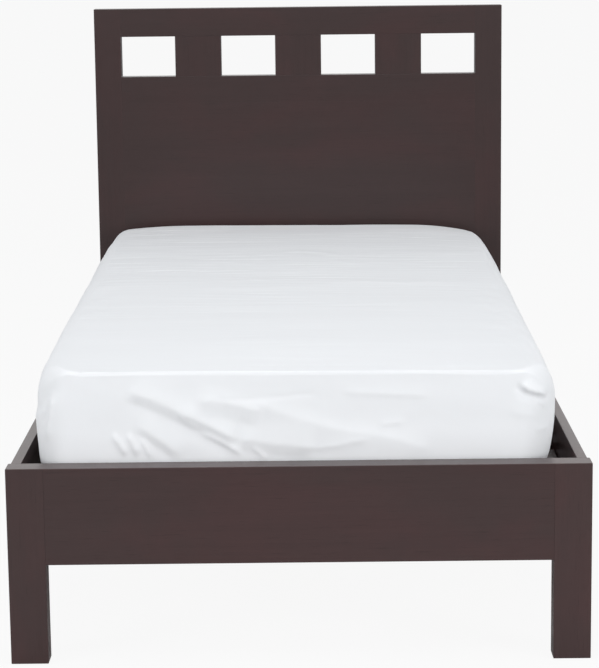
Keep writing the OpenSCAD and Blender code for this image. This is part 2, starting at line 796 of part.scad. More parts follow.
headboard_post(-1);  // headboard_post_left
headboard_post(1);  // headboard_post_right
headboard_rail(window_top, head_h);  // headboard_top_rail
headboard_divider(divider_xs[0]);  // headboard_divider_left
headboard_divider(divider_xs[1]);  // headboard_divider_centre
headboard_divider(divider_xs[2]);  // headboard_divider_right
headboard_rail(panel_top, window_low);  // headboard_window_rail
headboard_panel();
headboard_rail(rail_z, panel_low);  // headboard_lower_rail
headboard_batten(-1);  // headboard_batten_left
headboard_batten(1);  // headboard_batten_right
headboard_dowels();
footboard_leg(-1);  // footboard_leg_left
footboard_leg(1);  // footboard_leg_right
footboard_panel();
footboard_dowels();
side_rail(-1);  // side_rail_left
side_rail(1);  // side_rail_right
rail_dowels();
cleat(-1);  // cleat_left
cleat(1);  // cleat_right
cleat_screws();
corner_bracket(-1, -1);  // corner_bracket_foot_left
corner_bracket(1, -1);  // corner_bracket_foot_right
corner_bracket(-1, 1);  // corner_bracket_head_left
corner_bracket(1, 1);  // corner_bracket_head_right
bracket_bolts();
bracket_washers();
steel_screws();
threaded_inserts();
centre_beam();
beam_hanger(-1);  // beam_hanger_foot
beam_hanger(1);  // beam_hanger_head
centre_leg(-1);  // centre_leg_foot
centre_leg(1);  // centre_leg_head
hanger_bolts();
levelling_stem(-1);  // levelling_stem_foot
levelling_pad(-1);  // levelling_pad_foot
levelling_stem(1);  // levelling_stem_head
levelling_pad(1);  // levelling_pad_head
slat(0);  // slat_01
slat(1);  // slat_02
slat(2);  // slat_03
slat(3);  // slat_04
slat(4);  // slat_05
slat(5);  // slat_06
slat(6);  // slat_07
slat(7);  // slat_08
slat(8);  // slat_09
slat(9);  // slat_10
slat(10);  // slat_11
slat(11);  // slat_12
slat(12);  // slat_13
slat(13);  // slat_14
slat_webbing();
slat_screws();
floor_glides();
mattress();
fitted_sheet();
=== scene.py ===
import math
from itertools import product

import bmesh
import bpy
import numpy as np
from bpy.props import FloatProperty, FloatVectorProperty, PointerProperty
from mathutils import Matrix, Vector, noise


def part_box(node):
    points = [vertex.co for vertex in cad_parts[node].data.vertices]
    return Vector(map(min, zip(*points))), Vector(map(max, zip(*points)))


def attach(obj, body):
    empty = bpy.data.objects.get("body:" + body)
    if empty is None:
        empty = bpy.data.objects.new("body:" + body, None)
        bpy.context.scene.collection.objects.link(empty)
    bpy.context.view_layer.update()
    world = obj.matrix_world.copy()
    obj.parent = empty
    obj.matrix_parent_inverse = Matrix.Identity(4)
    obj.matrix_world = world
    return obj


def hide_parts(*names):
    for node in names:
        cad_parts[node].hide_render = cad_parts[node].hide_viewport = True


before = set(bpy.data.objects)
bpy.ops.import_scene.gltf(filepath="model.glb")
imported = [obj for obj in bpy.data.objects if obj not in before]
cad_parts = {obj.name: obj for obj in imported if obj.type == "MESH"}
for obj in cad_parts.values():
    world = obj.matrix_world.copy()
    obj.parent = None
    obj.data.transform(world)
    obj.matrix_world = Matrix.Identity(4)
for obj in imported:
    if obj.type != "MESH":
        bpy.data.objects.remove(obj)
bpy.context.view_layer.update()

bl_info = {
    "name": "Platform Bed",
    "version": (1, 0, 0),
    "blender": (4, 5, 0),
    "location": "3D Viewport > Sidebar > Bed",
    "description": "Dresses a wooden platform bed: boards, slats, steel fittings, mattress and fitted sheet",
    "category": "Object",
}

X, Y, Z = 0, 1, 2
MM = 0.001
TOUCH = 1e-5

# Boards of each stained assembly, by the way their grain runs
POSTS = ["headboard_post_left", "headboard_post_right", "footboard_leg_left", "footboard_leg_right",
         "headboard_divider_left", "headboard_divider_centre", "headboard_divider_right",
         "headboard_batten_left", "headboard_batten_right"]
CROSS_BOARDS = ["headboard_top_rail", "headboard_window_rail", "headboard_panel", "headboard_lower_rail",
                "footboard_panel"]
SIDE_BOARDS = ["side_rail_left", "side_rail_right"]
SLATS = [f"slat_{i:02d}" for i in range(1, 15)]


# Sizes and colours

def colour_prop(name, description, default):
    return FloatVectorProperty(name=name, description=description, subtype="COLOR", default=default,
                               min=0, max=1)


def length_prop(name, description, default, low, high):
    return FloatProperty(name=name, description=description, unit="LENGTH", default=default,
                         min=low, max=high)


def number_prop(name, description, default, low, high):
    return FloatProperty(name=name, description=description, default=default, min=low, max=high)


def power_prop(name, description, default):
    return FloatProperty(name=name, description=description, unit="POWER", default=default, min=0, max=1000)


class BedWood(bpy.types.PropertyGroup):
    stain: colour_prop("Stain", "Colour of the dark stained boards", (0.0337, 0.0190, 0.0185))
    red_cast: colour_prop("Red cast", "Colour of the warmer patches in the stain", (0.047, 0.0195, 0.0195))
    # Painted light: the footboard, side rails and cleats are painted paler than the headboard, and the
    # footboard's right leg paler still, for the stronger light that falls on them
    foot_painted_light: number_prop("Foot tone", "How much paler the footboard and side rails are than the headboard",
                           1.3, 0.8, 1.8)
    right_leg_painted_light: number_prop("Right leg tone", "The same for the footboard's right leg", 1.42, 0.8, 1.8)
    pine: colour_prop("Pine", "Colour of the bare beam, centre legs and dowels", (0.60, 0.42, 0.24))
    late_wood: colour_prop("Late wood", "Colour of the darker growth lines in the pine", (0.42, 0.235, 0.10))
    arris: length_prop("Arris", "Radius of a stained board's free edges", 0.0014, 0.0002, 0.004)
    hairline: length_prop("Hairline", "Radius of the edges where two boards meet flush", 0.00012,
                          0.00005, 0.001)
    slat_arris: length_prop("Slat arris", "Radius of the slats' edges", 0.0028, 0.0005, 0.006)


class BedFittings(bpy.types.PropertyGroup):
    zinc: colour_prop("Zinc", "Colour of the zinc-plated screws, washers and stems", (0.60, 0.61, 0.62))
    black: colour_prop("Black coat", "Colour of the powder-coated steel", (0.022, 0.022, 0.024))
    brass: colour_prop("Brass", "Colour of the threaded inserts", (0.72, 0.52, 0.22))
    plastic: colour_prop("Plastic", "Colour of the pads and glides", (0.028, 0.028, 0.030))
    webbing: colour_prop("Webbing", "Colour of the webbing under the slats", (0.70, 0.67, 0.60))
    steel_edge: length_prop("Steel edge", "Radius of the edges of the pressed steel", 0.0005, 0.0001, 0.001)
    thread_pitch: length_prop("Thread pitch", "Pitch of the levelling stems' thread", 0.00125, 0.0008, 0.002)
    thread_depth: length_prop("Thread depth", "Depth of that thread", 0.0007, 0.0003, 0.001)


class BedBedding(bpy.types.PropertyGroup):
    cotton: colour_prop("Cotton", "Colour of the fitted sheet", (0.805, 0.812, 0.830))
    ticking: colour_prop("Ticking", "Colour of the mattress's cover", (0.76, 0.74, 0.68))
    foot_height: length_prop("Height at the foot", "Height of the mattress and sheet at the foot", 0.246,
                             0.1, 0.4)
    head_height: length_prop("Height at the head", "Height of the mattress and sheet at the head", 0.252,
                             0.1, 0.4)
    taper: length_prop("Taper", "How much wider the mattress is at the head than at the foot", 0.025, 0, 0.04)
    crown: length_prop("Crown", "Rise of the top towards its middle", 0.006, 0, 0.04)
    corner_radius: length_prop("Corner radius", "Radius of the upright corners", 0.069, 0.02, 0.12)
    edge_width: length_prop("Top edge width", "How far in the rounded top edge reaches", 0.049, 0.02, 0.06)
    edge_height: length_prop("Top edge height", "How far down the rounded top edge reaches", 0.075,
                             0.02, 0.12)
    bottom_radius: length_prop("Bottom edge radius", "Radius of the bottom edge", 0.014, 0.005, 0.03)
    foot_edge: length_prop("Foot edge height", "How far down the tight top edge reaches on the foot's face",
                           0.003, 0.002, 0.12)
    foot_edge_width: length_prop("Foot edge width", "How far in that tight edge reaches", 0.003, 0.002, 0.06)
    foot_fall: length_prop("Foot fall", "How far the top falls towards the foot", 0.017, 0, 0.03)
    foot_fall_reach: length_prop("Foot fall reach", "How far from the foot that fall begins", 0.45, 0.05, 0.8)
    belly: length_prop("Belly", "How far the low part of the foot's face stands out over the footboard",
                       0.0075, 0, 0.008)
    lean: length_prop("Lean", "How much higher the top lies at its left edge than in the middle",
                      0.003, -0.01, 0.01)
    left_fall: length_prop("Left head corner", "How far the top falls towards the left corner at the head",
                           0.012, 0, 0.04)
    right_fall: length_prop("Right head corner", "How far the top falls towards the right corner at the head",
                            0.025, 0, 0.04)
    draw_in: length_prop("Draw in", "How far the sides are drawn in at the bottom", 0.012, 0, 0.02)
    left_shoulder: length_prop("Left shoulder", "How far the top of the left front corner is drawn in",
                               0.008, 0, 0.02)
    corner_slack: length_prop("Corner slack", "How much further the right corner at the foot is drawn in",
                              0.020, 0, 0.03)
    slack_reach: length_prop("Slack reach", "How far from the foot that slack fades out", 0.35, 0.1, 0.6)
    hem: length_prop("Hem", "How far the sheet is tucked under the mattress", 0.110, 0.05, 0.2)
    fold: number_prop("Fold strength", "How strongly the folds stand out, where 1 is as photographed", 1.0,
                      0, 2)
    wrinkle: length_prop("Wrinkles", "Height of the shallow wrinkles on the top", 0.0020, 0, 0.006)


class BedStage(bpy.types.PropertyGroup):
    floor: colour_prop("Floor", "Colour of the studio floor", (0.72, 0.72, 0.72))
    ambient: number_prop("Ambient", "Strength of the light from all round", 0.35, 0, 2)
    key: power_prop("Key lamp", "Power of the large lamp in front, on the right", 128)
    fill: power_prop("Fill lamp", "Power of the large lamp in front, on the left", 114)
    top: power_prop("Top lamp", "Power of the lamp over the foot of the bed", 34)
    rear: power_prop("Rear lamp", "Power of the lamp over the head of the bed", 17)


SETTINGS = {"bed_wood": BedWood, "bed_fittings": BedFittings, "bed_bedding": BedBedding,
            "bed_stage": BedStage}


# Shader maths

def maths(operation, turned=False):
    """A method that adds a Math node, with the two values turned round for a reflected operator."""
    def method(self, other):
        values = (other, self) if turned else (self, other)
        return self.paint.node("ShaderNodeMath", {"operation": operation}, dict(enumerate(values)))
    return method


class Wire:
    """One output of a shader node, which can be used in sums."""

    def __init__(self, paint, socket):
        self.paint, self.socket = paint, socket

    __add__, __radd__ = maths("ADD"), maths("ADD", True)
    __sub__, __rsub__ = maths("SUBTRACT"), maths("SUBTRACT", True)
    __mul__, __rmul__ = maths("MULTIPLY"), maths("MULTIPLY", True)
    __pow__, larger = maths("POWER"), maths("MAXIMUM")

    def between(self, low, high):
        """0 at low and 1 at high, easing in between."""
        return self.paint.node("ShaderNodeMapRange", {"interpolation_type": "SMOOTHSTEP"},
                               {"Value": self, "From Min": low, "From Max": high})

    def wave(self, length):
        """A sine between 0 and 1 with that wavelength."""
        sine = self.paint.node("ShaderNodeMath", {"operation": "SINE"}, {0: self * (math.tau / length)})
        return sine * 0.5 + 0.5


class Paint:
    """A node tree of a material or of the world."""

    def __init__(self, tree):
        self.tree = tree
        tree.nodes.clear()

    def node(self, kind, settings=None, inputs=None, output=0):
        """Adds a node with its settings, then the values or links of its sockets."""
        made = self.tree.nodes.new(kind)
        for name, value in (settings or {}).items():
            setattr(made, name, value)
        for name, value in (inputs or {}).items():
            if isinstance(value, Wire):
                self.tree.links.new(value.socket, made.inputs[name])
            else:
                made.inputs[name].default_value = value
        return Wire(self, made.outputs[output]) if made.outputs else None

    def place(self):
        return self.node("ShaderNodeTexCoord", output="Object")

    def stretched(self, scale):
        """The place on the piece with each axis times its scale."""
        return self.node("ShaderNodeVectorMath", {"operation": "MULTIPLY"}, {0: self.place(), 1: scale})

    def drawn_out(self, axis, share):
        """The place on the piece for a pattern that is drawn out along an axis."""
        return self.stretched([share if k == axis else 1.0 for k in (X, Y, Z)])

    def attribute(self, name):
        return self.node("ShaderNodeAttribute", {"attribute_name": name}, output="Fac")

    def axes(self):
        split = self.node("ShaderNodeSeparateXYZ", None, {0: self.place()})
        return [Wire(self, s) for s in split.socket.node.outputs]

    def noise(self, vector, scale, detail, roughness, distortion=0.0, seed=0.0):
        return self.node("ShaderNodeTexNoise", {"noise_dimensions": "4D"},
                         {"Vector": vector, "W": seed, "Scale": scale, "Detail": detail,
                          "Roughness": roughness, "Distortion": distortion})

    def blend(self, factor, a, b, mode="MIX"):
        """Two colours mixed."""
        return self.node("ShaderNodeMix", {"data_type": "RGBA", "blend_type": mode},
                         {0: factor, 6: a, 7: b}, 2)

    def shade(self, colour, amount):
        """A colour times a number that changes over the surface."""
        grey = self.node("ShaderNodeCombineColor", None, {0: amount, 1: amount, 2: amount})
        return self.blend(1.0, colour, grey, "MULTIPLY")

    def bump(self, height, depth, strength):
        return self.node("ShaderNodeBump", None, {"Height": height, "Distance": depth, "Strength": strength})

    def surface(self, **sockets):
        """The principled shader and the output. An underscore in a name stands for a space."""
        inputs = {name.replace("_", " "): value for name, value in sockets.items()}
        shader = self.node("ShaderNodeBsdfPrincipled", None, inputs)
        self.node("ShaderNodeOutputMaterial", None, {"Surface": shader})


WHITE = (1, 1, 1, 1)


def rgb(colour):
    return (*colour, 1.0)


def finish(name):
    """Turns a function that paints a tree into one that makes the material, once for each axis."""
    def finish_of(painter):
        def made(*along):
            full_name = "_".join([name] + ["xyz"[axis] for axis in along])
            look = bpy.data.materials.get(full_name)
            if not look:
                look = bpy.data.materials.new(full_name)
                look.use_nodes = True
                painter(Paint(look.node_tree), *along)
            return look
        return made
    return finish_of


# Finishes

@finish("espresso_wood")
def espresso(paint, along):
    """Dark stained wood under satin lacquer, with its grain along an axis."""
    wood = bpy.context.scene.bed_wood
    grain = paint.drawn_out(along, 0.035)
    board_share = paint.attribute("board")
    seed = board_share * 9.0
    streaks = paint.noise(grain, 170, 4, 0.62, 0.15, seed)
    bands = paint.noise(grain, 34, 2, 0.5, 0.6, seed + 3)
    pores = paint.noise(grain, 620, 2, 0.6, 0.0, seed + 5).between(0.60, 0.74)
    patches = paint.noise(paint.drawn_out(along, 0.42), 6.5, 3, 0.62, 0.5, 4.0).between(0.40, 0.66)
    mottle = paint.noise(paint.place(), 42, 3, 0.6, 0.0, 8.0)
    colour = paint.blend(patches * 0.42, rgb(wood.stain), rgb(wood.red_cast))
    tone = 0.72 + 0.26 * streaks + 0.20 * bands + 0.12 * mottle + 0.02 * board_share
    # The tone attribute is painted light: it makes the footboard, side rails and cleats paler than the
    # headboard, for the stronger light that falls on them
    painted_light = paint.attribute("tone")
    colour = paint.shade(colour, tone * painted_light * (1 - 0.30 * pores))
    lift = streaks * 0.35 + bands * 0.35 - pores
    paint.surface(
        Base_Color=colour,
        Roughness=0.33 + 0.10 * streaks + 0.10 * mottle + 0.06 * pores,
        Specular_IOR_Level=0.15,
        Coat_Weight=0.50,
        Coat_Roughness=0.22,
        Normal=paint.bump(lift, 0.00010, 0.6),
    )


@finish("bare_wood")
def bare_wood(paint, along):
    """Planed pine with growth lines along an axis."""
    wood = bpy.context.scene.bed_wood
    grain = paint.drawn_out(along, 0.03)
    board_share = paint.attribute("board")
    seed = board_share * 9.0
    rings = paint.noise(grain, 22, 2, 0.45, 0.35, seed)
    lines = (rings * 9.0).wave(1.0) ** 3.0
    fibres = paint.noise(grain, 420, 3, 0.6, 0.0, seed + 2)
    warm = paint.noise(paint.place(), 4.5, 2, 0.5, 0.0, seed + 6)
    cells = paint.node("ShaderNodeTexVoronoi", {"feature": "F1"},
                       {"Vector": paint.drawn_out(along, 0.55), "Scale": 5.5, "Randomness": 1.0})
    knots = 1 - cells.between(0.035, 0.075)
    colour = paint.blend(lines * 0.62, rgb(wood.pine), rgb(wood.late_wood))
    colour = paint.blend(knots * 0.75, colour, (0.19, 0.085, 0.035, 1))
    colour = paint.shade(colour, 0.86 + 0.16 * fibres + 0.14 * warm)
    paint.surface(
        Base_Color=colour,
        Roughness=0.56 + 0.14 * fibres - 0.08 * knots,
        Specular_IOR_Level=0.35,
        Normal=paint.bump(fibres * 0.6 + lines * 0.5, 0.00012, 0.7),
    )


@finish("zinc_steel")
def zinc(paint):
    cloud = paint.noise(paint.place(), 160, 3, 0.6)
    fine = paint.noise(paint.place(), 1400, 2, 0.5)
    paint.surface(
        Base_Color=paint.shade(rgb(bpy.context.scene.bed_fittings.zinc), 0.82 + 0.30 * cloud),
        Metallic=1.0, Roughness=0.24 + 0.22 * cloud + 0.06 * fine,
        Normal=paint.bump(fine, 0.00002, 0.5))


@finish("black_steel")
def black_coat(paint):
    peel = paint.noise(paint.place(), 650, 2, 0.5)
    dust = paint.noise(paint.place(), 60, 3, 0.6)
    paint.surface(
        Base_Color=paint.shade(rgb(bpy.context.scene.bed_fittings.black), 0.8 + 0.5 * dust),
        Roughness=0.34 + 0.16 * dust, Normal=paint.bump(peel, 0.00006, 0.7))


@finish("brass_insert")
def brass(paint):
    tarnish = paint.noise(paint.place(), 220, 3, 0.6)
    colour = paint.blend(tarnish.between(0.45, 0.75) * 0.6, rgb(bpy.context.scene.bed_fittings.brass),
                         (0.34, 0.20, 0.07, 1))
    paint.surface(Base_Color=colour, Metallic=1.0, Roughness=0.26 + 0.24 * tarnish)


@finish("black_plastic")
def plastic(paint):
    grain = paint.noise(paint.place(), 2200, 2, 0.6)
    scuff = paint.noise(paint.place(), 90, 3, 0.65).between(0.5, 0.8)
    paint.surface(
        Base_Color=paint.blend(scuff * 0.35, rgb(bpy.context.scene.bed_fittings.plastic),
                               (0.065, 0.064, 0.062, 1)),
        Roughness=0.52 + 0.14 * scuff, Normal=paint.bump(grain, 0.00004, 0.6))


@finish("webbing")
def woven_webbing(paint):
    x, y, _ = paint.axes()
    warp, weft = x.wave(0.0022), y.wave(0.0030)
    weave = warp * weft
    stain = paint.noise(paint.place(), 25, 3, 0.6)
    stripe = 1 - (x.wave(0.030) ** 14.0)
    colour = paint.shade(rgb(bpy.context.scene.bed_fittings.webbing),
                         (0.72 + 0.30 * weave) * (0.86 + 0.2 * stain))
    paint.surface(Base_Color=paint.shade(colour, 0.8 + 0.2 * stripe), Roughness=0.72 + 0.12 * weave,
                  Normal=paint.bump(weave, 0.0004, 0.8))


@finish("ticking")
def ticking(paint):
    """The mattress's cover: a fine twill with pairs of thin stripes."""
    x, y, z = paint.axes()
    twill = (x + y * 0.7 + z).wave(0.0016)
    slub = paint.noise(paint.stretched((1, 0.1, 1)), 500, 2, 0.6)
    stripe = (x.wave(0.045) ** 30.0).larger((x + 0.006).wave(0.045) ** 30.0)
    colour = paint.blend(stripe * 0.7, rgb(bpy.context.scene.bed_bedding.ticking), (0.26, 0.31, 0.40, 1))
    paint.surface(Base_Color=paint.shade(colour, 0.86 + 0.10 * twill + 0.10 * slub), Roughness=0.85,
                  Specular_IOR_Level=0.25, Sheen_Weight=0.15, Sheen_Roughness=0.5,
                  Normal=paint.bump(twill + slub * 0.5, 0.00025, 0.6))


@finish("white_sheet")
def cotton(paint):
    """White percale: a fine plain weave with faint ironed-in creases."""
    x, y, z = paint.axes()
    weave = (x.wave(0.0009) + y.wave(0.0009) + z.wave(0.0009)) * 0.33
    slub = paint.noise(paint.stretched((1, 14, 14)), 60, 2, 0.6)
    crush = paint.noise(paint.stretched((1.0, 2.2, 1.6)), 24, 4, 0.58, 0.4)
    crease = paint.noise(paint.stretched((0.35, 1.9, 1.2)), 30, 3, 0.55, 0.25, 6.0)
    cloudy = paint.noise(paint.place(), 3.0, 2, 0.5, 0.0, 2.0)
    colour = paint.shade(rgb(bpy.context.scene.bed_bedding.cotton), 0.965 + 0.045 * cloudy + 0.02 * slub)
    fine = paint.bump(weave * 0.7 + slub * 0.3, 0.00010, 0.35)
    soft = paint.node("ShaderNodeBump", None, {"Height": crush * 0.45 + crease * 0.55, "Distance": 0.0035,
                                               "Strength": 0.30, "Normal": fine})
    paint.surface(Base_Color=colour, Roughness=0.78 + 0.10 * slub, Specular_IOR_Level=0.28,
                  Sheen_Weight=0.12, Sheen_Roughness=0.45, Normal=soft)


@finish("studio_floor")
def studio_floor(paint):
    """Matt and pale, and nearly white to the camera, so that only the shadow shows."""
    rays = paint.node("ShaderNodeLightPath", output="Is Camera Ray")
    matt = paint.node("ShaderNodeBsdfDiffuse", None, {"Color": rgb(bpy.context.scene.bed_stage.floor)})
    white = paint.node("ShaderNodeEmission", None, {"Color": WHITE, "Strength": 1.0})
    both = paint.node("ShaderNodeMixShader", None, {0: rays * 0.92, 1: matt, 2: white})
    paint.node("ShaderNodeOutputMaterial", None, {"Surface": both})


# Pieces

def in_scene(name, data):
    """A new object in the scene."""
    made = bpy.data.objects.new(name, data)
    bpy.context.scene.collection.objects.link(made)
    return made


def painted(mesh, look):
    mesh.materials.clear()
    mesh.materials.append(look)


def finished(name, mesh, look, body, replaced):
    """Makes a piece of a finished mesh and lets it ride on a body."""
    mesh.name = name
    painted(mesh, look)
    piece = in_scene(name, mesh)
    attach(piece, body)
    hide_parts(*replaced)
    return piece


def merged_copy(node):
    """A CAD node's mesh as a bmesh with shared points and whole flat faces."""
    bm = bmesh.new()
    bm.from_mesh(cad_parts[node].data)
    bmesh.ops.remove_doubles(bm, verts=bm.verts[:], dist=1e-6)
    bmesh.ops.dissolve_limit(bm, angle_limit=math.radians(0.5), verts=bm.verts[:], edges=bm.edges[:])
    return bm


def to_mesh(bm, smooth=True):
    mesh = bpy.data.meshes.new("made")
    for face in bm.faces:
        face.smooth = smooth
    bm.to_mesh(mesh)
    bm.free()
    return mesh


def inside(point, box, axes=(X, Y, Z)):
    return all(box[0][k] - TOUCH <= point[k] <= box[1][k] + TOUCH for k in axes)


def cut_rings(bm, box, boxes, room):
    """Cuts a board's arrises where a flush neighbour begins or ends, and a little to each side."""
    for axis in (X, Y, Z):
        across = [k for k in (X, Y, Z) if k != axis]
        corners = [{k: box[side][k] for k, side in zip(across, sides)}
                   for sides in product((0, 1), repeat=2)]
        places = set()
        for other in boxes:
            if any(inside(corner, other, across) for corner in corners):
                places |= {round(end[axis], 6) for end in other
                           if box[0][axis] + 2 * room < end[axis] < box[1][axis] - 2 * room}
        normal = [float(k == axis) for k in (X, Y, Z)]
        for place in sorted(places):
            for step in (-room, 0.0, room):
                bmesh.ops.bisect_plane(bm, geom=bm.verts[:] + bm.edges[:] + bm.faces[:], dist=1e-7,
                                       plane_co=[(place + step) * k for k in normal], plane_no=normal)


def painted_light_of_board(node):
    """Painted light: how much paler a board is painted for the stronger light that falls on it, where 1 is
    the headboard's.
    """
    wood = bpy.context.scene.bed_wood
    if node == "footboard_leg_right":
        return wood.right_leg_painted_light
    return wood.foot_painted_light if node.startswith(("footboard", "side_rail", "cleat")) else 1.0


def board(node, number, neighbours, free, look):
    """A board whose free arrises are rounded, and whose flush joints show as hairlines."""
    box = [tuple(corner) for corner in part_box(node)]
    boxes = [[tuple(corner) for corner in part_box(n)] for n in neighbours if n != node]
    boxes = [b for b in boxes if all(b[0][k] <= box[1][k] + TOUCH and b[1][k] >= box[0][k] - TOUCH
                                     for k in (X, Y, Z))]
    bm = merged_copy(node)
    cut_rings(bm, box, boxes, 2 * MM)
    hairline = bpy.context.scene.bed_wood.hairline
    golden, sharp = 0.618, math.radians(30)
    weight = bm.edges.layers.float.new("bevel_weight_edge")
    # Each board carries its grain seed and, as tone, the paleness painted on it for the light that falls on
    # it
    seed, tone = (bm.verts.layers.float.new(name) for name in ("board", "tone"))
    for vert in bm.verts:
        vert[seed], vert[tone] = (number * golden) % 1.0, painted_light_of_board(node)
    for edge in bm.edges:
        a, b = (v.co for v in edge.verts)
        middle = (a + b) / 2
        on_faces = sum(any(abs(a[k] - corner[k]) < TOUCH and abs(b[k] - corner[k]) < TOUCH for corner in box)
                       for k in (X, Y, Z))
        if on_faces == 2:
            edge[weight] = hairline / free if any(inside(middle, other) for other in boxes) else 1.0
        elif edge.calc_face_angle(0) > sharp:
            edge.smooth = False
    piece = finished(f"{node}_board", to_mesh(bm), look, "frame", [node])
    bevel = piece.modifiers.new("arrises", "BEVEL")
    bevel.limit_method = "WEIGHT"
    bevel.width = free
    bevel.segments = 3
    bevel.use_clamp_overlap = False
    level_faces(piece)
    return piece


def level_faces(piece):
    """Shades a piece's large faces flat, and its rounded edges from one to the next."""
    piece.modifiers.new("level faces", "WEIGHTED_NORMAL").keep_sharp = True


def eased(node, radius, look, body="frame", segments=2):
    """A fitting whose sharp edges are rounded."""
    sharp = math.radians(35)
    bm = merged_copy(node)
    for edge in bm.edges:
        edge.smooth = edge.calc_face_angle(0) < sharp
    piece = finished(f"{node}_eased", to_mesh(bm), look, body, [node])
    bevel = piece.modifiers.new("edges", "BEVEL")
    bevel.limit_method = "ANGLE"
    bevel.angle_limit = sharp
    bevel.width = radius
    bevel.segments = segments
    level_faces(piece)
    return piece


def block(low, high):
    """A bmesh box from its low corner to its high corner."""
    bm = bmesh.new()
    bmesh.ops.create_cube(bm, size=1)
    bmesh.ops.scale(bm, vec=Vector(high) - Vector(low), verts=bm.verts)
    bmesh.ops.translate(bm, vec=(Vector(high) + Vector(low)) / 2, verts=bm.verts)
    return bm


def threaded_stem(low, high, collar_low, collar_wide, fittings):
    """A stem with a V thread from low to high and a hexagon collar, on the Z axis."""
    stem_r, collar_h, steps = 4 * MM, 5 * MM, 24
    pitch, root = fittings.thread_pitch, stem_r - fittings.thread_depth
    crest = stem_r - 0.04 * MM
    bm = bmesh.new()
    heights = [(root, 0.0), (root, 0.12), (crest, 0.44), (crest, 0.56), (root, 0.88), (root, 1.0)]
    verts = [bm.verts.new((r, 0, low - pitch + share * pitch)) for r, share in heights]
    edges = [bm.edges.new(pair) for pair in zip(verts, verts[1:])]
    turns = math.ceil((high - low) / pitch) + 2
    bmesh.ops.spin(bm, geom=verts + edges, cent=(0, 0, 0), axis=(0, 0, 1), angle=math.tau * turns,
                   dvec=(0, 0, pitch / steps), steps=steps * turns, use_merge=False)
    bmesh.ops.remove_doubles(bm, verts=bm.verts[:], dist=1e-6)
    for height, up in ((low, -1), (high, 1)):
        cut = bmesh.ops.bisect_plane(bm, geom=bm.verts[:] + bm.edges[:] + bm.faces[:], dist=1e-7,
                                     plane_co=(0, 0, height), plane_no=(0, 0, up), clear_outer=True)
        rim = [e for e in cut["geom_cut"] if isinstance(e, bmesh.types.BMEdge)]
        bmesh.ops.holes_fill(bm, edges=rim, sides=0)
    bmesh.ops.recalc_face_normals(bm, faces=bm.faces[:])
    before = set(bm.verts)
    bmesh.ops.create_cone(bm, cap_ends=True, segments=6, radius1=collar_wide / 2, radius2=collar_wide / 2,
                          depth=collar_h, matrix=Matrix.Translation((0, 0, collar_low + collar_h / 2)))
    rims = [e for e in bm.edges
            if e.verts[0] not in before and abs(e.verts[0].co.z - e.verts[1].co.z) < 1e-7]
    bmesh.ops.bevel(bm, geom=rims, offset=0.5 * MM, segments=2, affect="EDGES", profile=0.5, material=-1)
    return bm


# Soft forms

